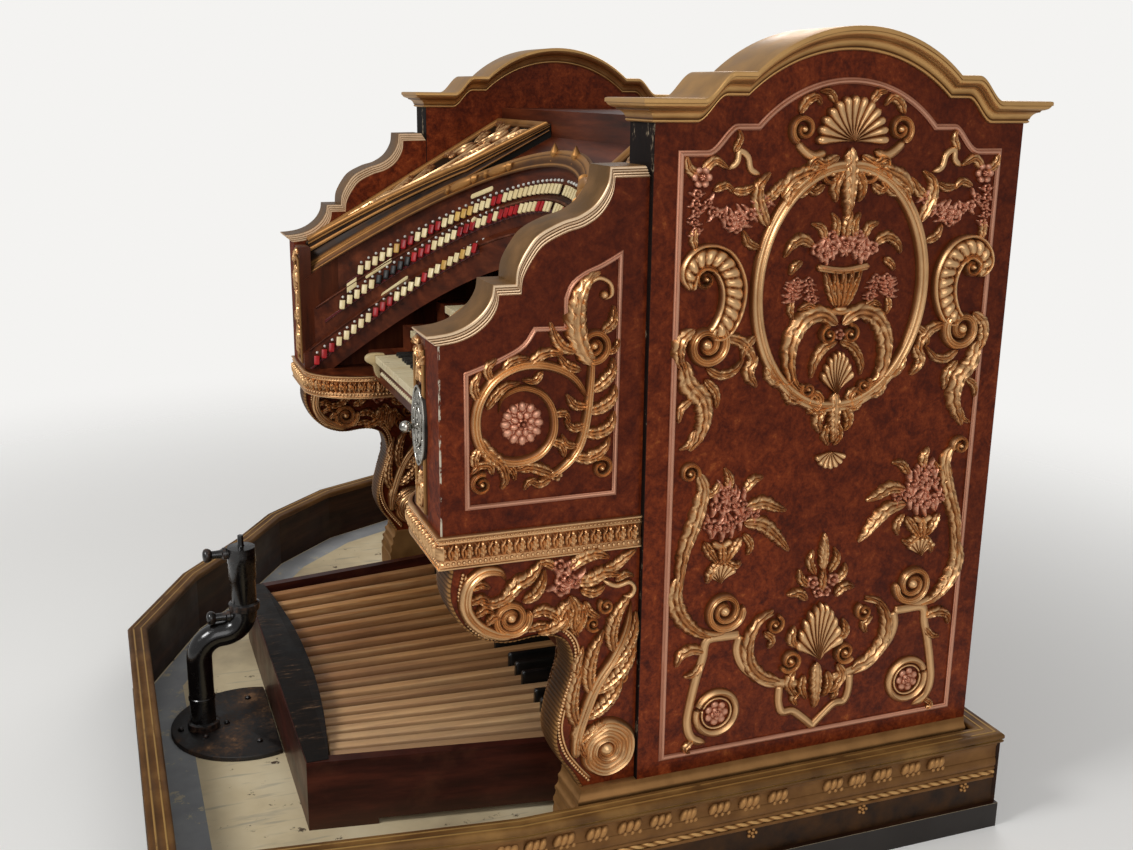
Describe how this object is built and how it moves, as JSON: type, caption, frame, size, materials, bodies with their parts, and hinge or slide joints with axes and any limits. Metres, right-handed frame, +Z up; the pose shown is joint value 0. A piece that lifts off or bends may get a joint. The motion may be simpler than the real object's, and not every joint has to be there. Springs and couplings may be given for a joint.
{
  "type": "pipe organ console",
  "caption": "Ornate theatre organ console with curved stop rail, stepped keyboards and pedalboard, between arched carved side towers, on a kerbed platform.",
  "frame": {"origin": "middle of the platform's bounding box, on its underside", "axes": "+X to the organist's right, along the keyboards; +Y from the organist to the back of the console; +Z up"},
  "size_m": [2.48, 1.846, 1.761],
  "materials": {
    "burl_mahogany": "burl mahogany veneer, French polished, mottled reddish brown",
    "dark_mahogany": "plain mahogany, dark stained and varnished",
    "old_gold": "aged gold leaf over gesso, satin",
    "rose_gold": "copper-tinted gold leaf on carved wood, satin",
    "olive_gold": "worn bronze-gold paint on moulded wood",
    "deck_paint": "scuffed cream paint on deck boards",
    "kerb_wood": "dark stained kerb boards with a gilt lined top rail",
    "ivory_keys": "polished ivory-coloured key tops",
    "tab_ivory": "polished ivory-coloured stop tablets",
    "tab_red": "polished red and amber stop tablets",
    "maple": "worn maple pedal tops",
    "ebony": "ebonised wood",
    "pedal_case": "dark mahogany pedal frame with blackened heel rail",
    "silvered_plate": "polished nickel plate and ball knob",
    "black_iron": "black enamelled cast iron"
  },
  "bodies": {
    "root": {"platform_deck": "deck_paint", "kerb_boards": "kerb_wood", "right_fascia": "olive_gold", "kerb_rail": "kerb_wood", "right_plinth": "olive_gold", "left_plinth": "olive_gold", "right_tower": "burl_mahogany", "left_tower": "burl_mahogany", "right_cornice": "old_gold", "left_cornice": "old_gold", "right_tower_frame": "rose_gold", "left_tower_frame": "rose_gold", "right_leg": "burl_mahogany", "left_leg": "burl_mahogany", "right_arm": "dark_mahogany", "left_arm": "dark_mahogany", "right_arm_band": "old_gold", "left_arm_band": "old_gold", "right_cheek": "burl_mahogany", "left_cheek": "burl_mahogany", "right_cheek_cap": "old_gold", "left_cheek_cap": "old_gold", "right_cheek_frame": "rose_gold", "left_cheek_frame": "rose_gold", "back_panel": "dark_mahogany", "top_lid": "dark_mahogany", "music_panel": "dark_mahogany", "knee_panel": "dark_mahogany", "key_desk": "dark_mahogany", "key_cheeks": "dark_mahogany", "lower_manual": "ivory_keys", "middle_manual": "ivory_keys", "upper_manual": "ivory_keys", "piston_rails": "dark_mahogany", "name_board": "dark_mahogany", "stop_rail": "dark_mahogany", "rail_moulding": "old_gold", "stop_tabs_upper": "tab_ivory", "stop_tabs_middle": "tab_red", "stop_tabs_lower": "tab_ivory", "right_spandrel": "old_gold", "left_spandrel": "old_gold", "oval_plate": "silvered_plate", "pedal_frame": "pedal_case", "pedal_naturals": "maple", "pedal_sharps": "ebony", "seat_post": "black_iron"}
  },
  "joints": []
}
